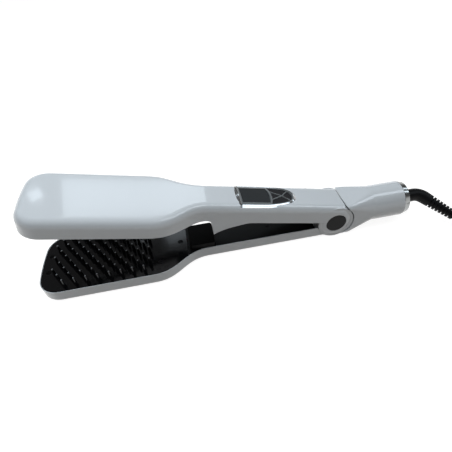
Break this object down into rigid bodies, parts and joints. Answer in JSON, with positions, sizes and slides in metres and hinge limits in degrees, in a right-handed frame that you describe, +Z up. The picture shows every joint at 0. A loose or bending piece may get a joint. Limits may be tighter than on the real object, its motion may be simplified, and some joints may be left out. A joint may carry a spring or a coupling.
{
  "type": "steam hair straightener brush",
  "caption": "Two-armed steam hair straightening brush: a hinged steam paddle closes over a bristled heated paddle; display and keys on the grip, swivelling mains cord with plug.",
  "frame": {"origin": "on the resting surface, straight below the hinge axis, in the middle of the width", "axes": "+Z up; -X along the lower arm to its tip; +X along the cord's exit; Y along the hinge pin"},
  "size_m": [0.4716, 0.0945, 0.0833],
  "materials": {
    "board": "green circuit board",
    "brass": "plated brass",
    "bristle": "heat-proof nylon, satin",
    "cable": "black PVC",
    "ceramic": "ceramic heater",
    "charcoal": "satin charcoal plastic",
    "chrome_trim": "bright dark chrome",
    "display_glass": "smoked clear window",
    "gloss_black": "glossy black moulded plastic",
    "gloss_white": "glossy white moulded plastic",
    "mica": "mica sheet",
    "plate": "coated aluminium, satin",
    "satin_black": "satin black plastic",
    "seal": "silicone rubber",
    "steel": "machined steel",
    "tank": "translucent natural plastic",
    "wire": "silicone wire"
  },
  "bodies": {
    "root": {"arm_spring": "steel", "bed_heater": "ceramic", "bed_insulator": "mica", "bed_screws": "steel", "bristle_comb": "bristle", "brush_bed": "gloss_black", "coil_tie": "satin_black", "cord_coil": "cable", "cord_collar": "chrome_trim", "cord_lead": "cable", "cord_tail": "cable", "handle_cover_screws": "steel", "hinge_bushes": "brass", "lower_arm_shell": "gloss_white", "lower_handle_cover": "satin_black", "mains_leads": "wire", "plug_body": "cable", "plug_pins": "steel", "power_board": "board", "power_components": "charcoal", "rear_housing": "gloss_white", "swivel_socket": "satin_black", "tongue_screws": "steel"},
    "upper_arm": {"upper_arm_shell": "gloss_white", "upper_inner_cover": "satin_black", "upper_cover_screws": "steel", "plate_frame": "satin_black", "steam_plate": "plate", "plate_heater": "ceramic", "plate_insulator": "mica", "thermal_cutout": "steel", "steam_manifold": "satin_black", "steam_tube": "seal", "heater_leads": "wire", "water_tank": "tank", "tank_seal": "seal", "micro_pump": "charcoal", "water_tube": "seal", "steam_generator": "plate", "display_bezel": "chrome_trim", "display_window": "display_glass", "lcd_module": "satin_black", "tact_switches": "satin_black", "main_board": "board", "board_screws": "steel", "hinge_pin": "steel", "hinge_cap_front": "charcoal", "hinge_cap_rear": "charcoal"},
    "power_key": {"power_button": "gloss_black"},
    "temperature_up_key": {"temperature_up_button": "gloss_black"},
    "temperature_down_key": {"temperature_down_button": "gloss_black"},
    "steam_key": {"steam_button": "gloss_black"},
    "stopper": {"fill_stopper": "charcoal"},
    "cord_end": {"swivel_core": "satin_black", "strain_relief": "cable"}
  },
  "joints": [
    {"name": "arm_hinge", "type": "hinge", "parent": "root", "child": "upper_arm", "pos_m": [0, 0, 0.0155], "axis": [0, 1, 0], "range_deg": [-13.9, 0], "stiffness_Nm_per_rad": 1.2, "springref_deg": 20.05, "deforming": ["arm_spring"]},
    {"name": "power_press", "type": "slide", "parent": "upper_arm", "child": "power_key", "axis": [-0.23, 0, -0.9732], "range_m": [0, 0.0005], "stiffness_N_per_m": 800, "springref_m": -0.0003},
    {"name": "temperature_up_press", "type": "slide", "parent": "upper_arm", "child": "temperature_up_key", "axis": [-0.23, 0, -0.9732], "range_m": [0, 0.0005], "stiffness_N_per_m": 800, "springref_m": -0.0003},
    {"name": "temperature_down_press", "type": "slide", "parent": "upper_arm", "child": "temperature_down_key", "axis": [-0.23, 0, -0.9732], "range_m": [0, 0.0005], "stiffness_N_per_m": 800, "springref_m": -0.0003},
    {"name": "steam_press", "type": "slide", "parent": "upper_arm", "child": "steam_key", "axis": [-0.23, 0, -0.9732], "range_m": [0, 0.0005], "stiffness_N_per_m": 800, "springref_m": -0.0003},
    {"name": "stopper_pull", "type": "slide", "parent": "upper_arm", "child": "stopper", "axis": [0, 1, 0], "range_m": [0, 0.01]},
    {"name": "cord_swivel", "type": "hinge", "parent": "root", "child": "cord_end", "pos_m": [0.066, 0, 0.018], "axis": [-1, 0, 0], "continuous": true, "deforming": ["cord_lead"]}
  ]
}
